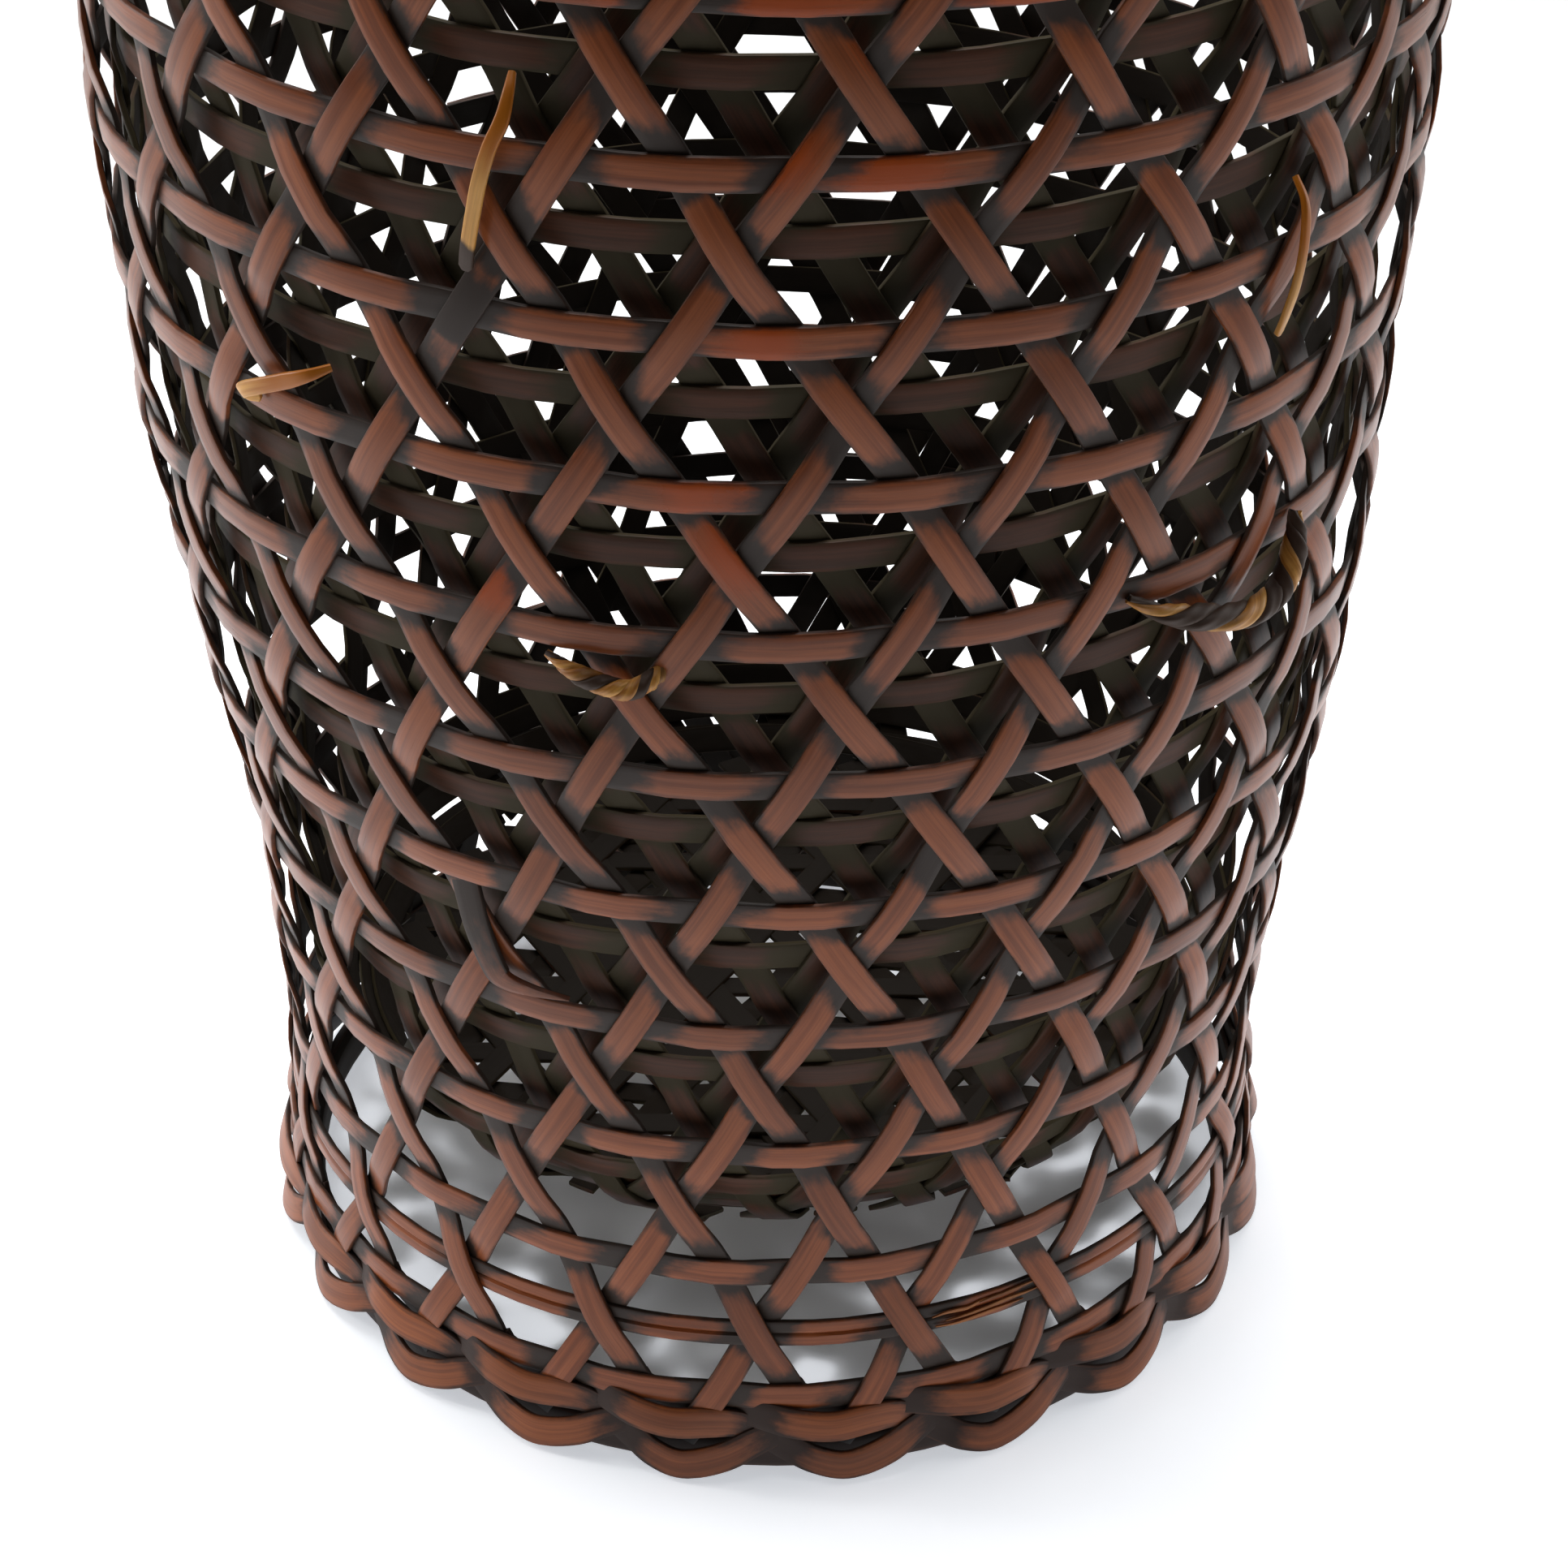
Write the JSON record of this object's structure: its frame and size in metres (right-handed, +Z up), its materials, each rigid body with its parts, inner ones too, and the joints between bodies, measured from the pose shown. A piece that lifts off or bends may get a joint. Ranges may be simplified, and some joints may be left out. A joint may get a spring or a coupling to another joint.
{
  "type": "woven basket",
  "caption": "Tall double-walled basket of stained split bamboo in an open hexagon weave, with a raised woven bottom, a plaited foot and a lashed rim.",
  "frame": {"origin": "middle of the underside of the foot, on the surface that the basket stands on", "axes": "+Z up along the basket's axis, -Y towards the front, +X to the right as seen from the front"},
  "size_m": [0.2421, 0.2419, 0.345],
  "materials": {
    "outer_bamboo": "stained split bamboo, satin",
    "inner_bamboo": "dark stained split bamboo, dull",
    "foot_bamboo": "stained split bamboo, satin",
    "rim_bamboo": "stained split bamboo, satin",
    "rattan": "varnished rattan, glossy"
  },
  "bodies": {
    "root": {"foot_core": "foot_bamboo", "foot_braid_1": "foot_bamboo", "foot_braid_2": "foot_bamboo", "foot_braid_3": "foot_bamboo", "outer_hoop_01": "outer_bamboo", "outer_hoop_02": "outer_bamboo", "outer_hoop_03": "outer_bamboo", "outer_hoop_04": "outer_bamboo", "outer_hoop_05": "outer_bamboo", "outer_hoop_06": "outer_bamboo", "outer_hoop_07": "outer_bamboo", "outer_hoop_08": "outer_bamboo", "outer_hoop_09": "outer_bamboo", "outer_hoop_10": "outer_bamboo", "outer_hoop_11": "outer_bamboo", "outer_hoop_12": "outer_bamboo", "grooved_hoop": "outer_bamboo", "outer_right_strands": "outer_bamboo", "outer_left_strands": "outer_bamboo", "base_hoop": "inner_bamboo", "base_strips_1": "inner_bamboo", "base_strips_2": "inner_bamboo", "base_strips_3": "inner_bamboo", "inner_hoop_01": "inner_bamboo", "inner_hoop_02": "inner_bamboo", "inner_hoop_03": "inner_bamboo", "inner_hoop_04": "inner_bamboo", "inner_hoop_05": "inner_bamboo", "inner_hoop_06": "inner_bamboo", "inner_hoop_07": "inner_bamboo", "inner_hoop_08": "inner_bamboo", "inner_hoop_09": "inner_bamboo", "inner_hoop_10": "inner_bamboo", "inner_right_strands": "inner_bamboo", "inner_left_strands": "inner_bamboo", "rim_outer_hoop": "rim_bamboo", "rim_inner_hoop": "rim_bamboo", "rim_core": "rim_bamboo", "rim_lashing": "rattan", "long_tie": "rattan", "thin_tie": "rattan", "short_tie": "rattan", "small_cord_tie": "rattan", "large_cord_tie": "rattan"}
  },
  "joints": []
}
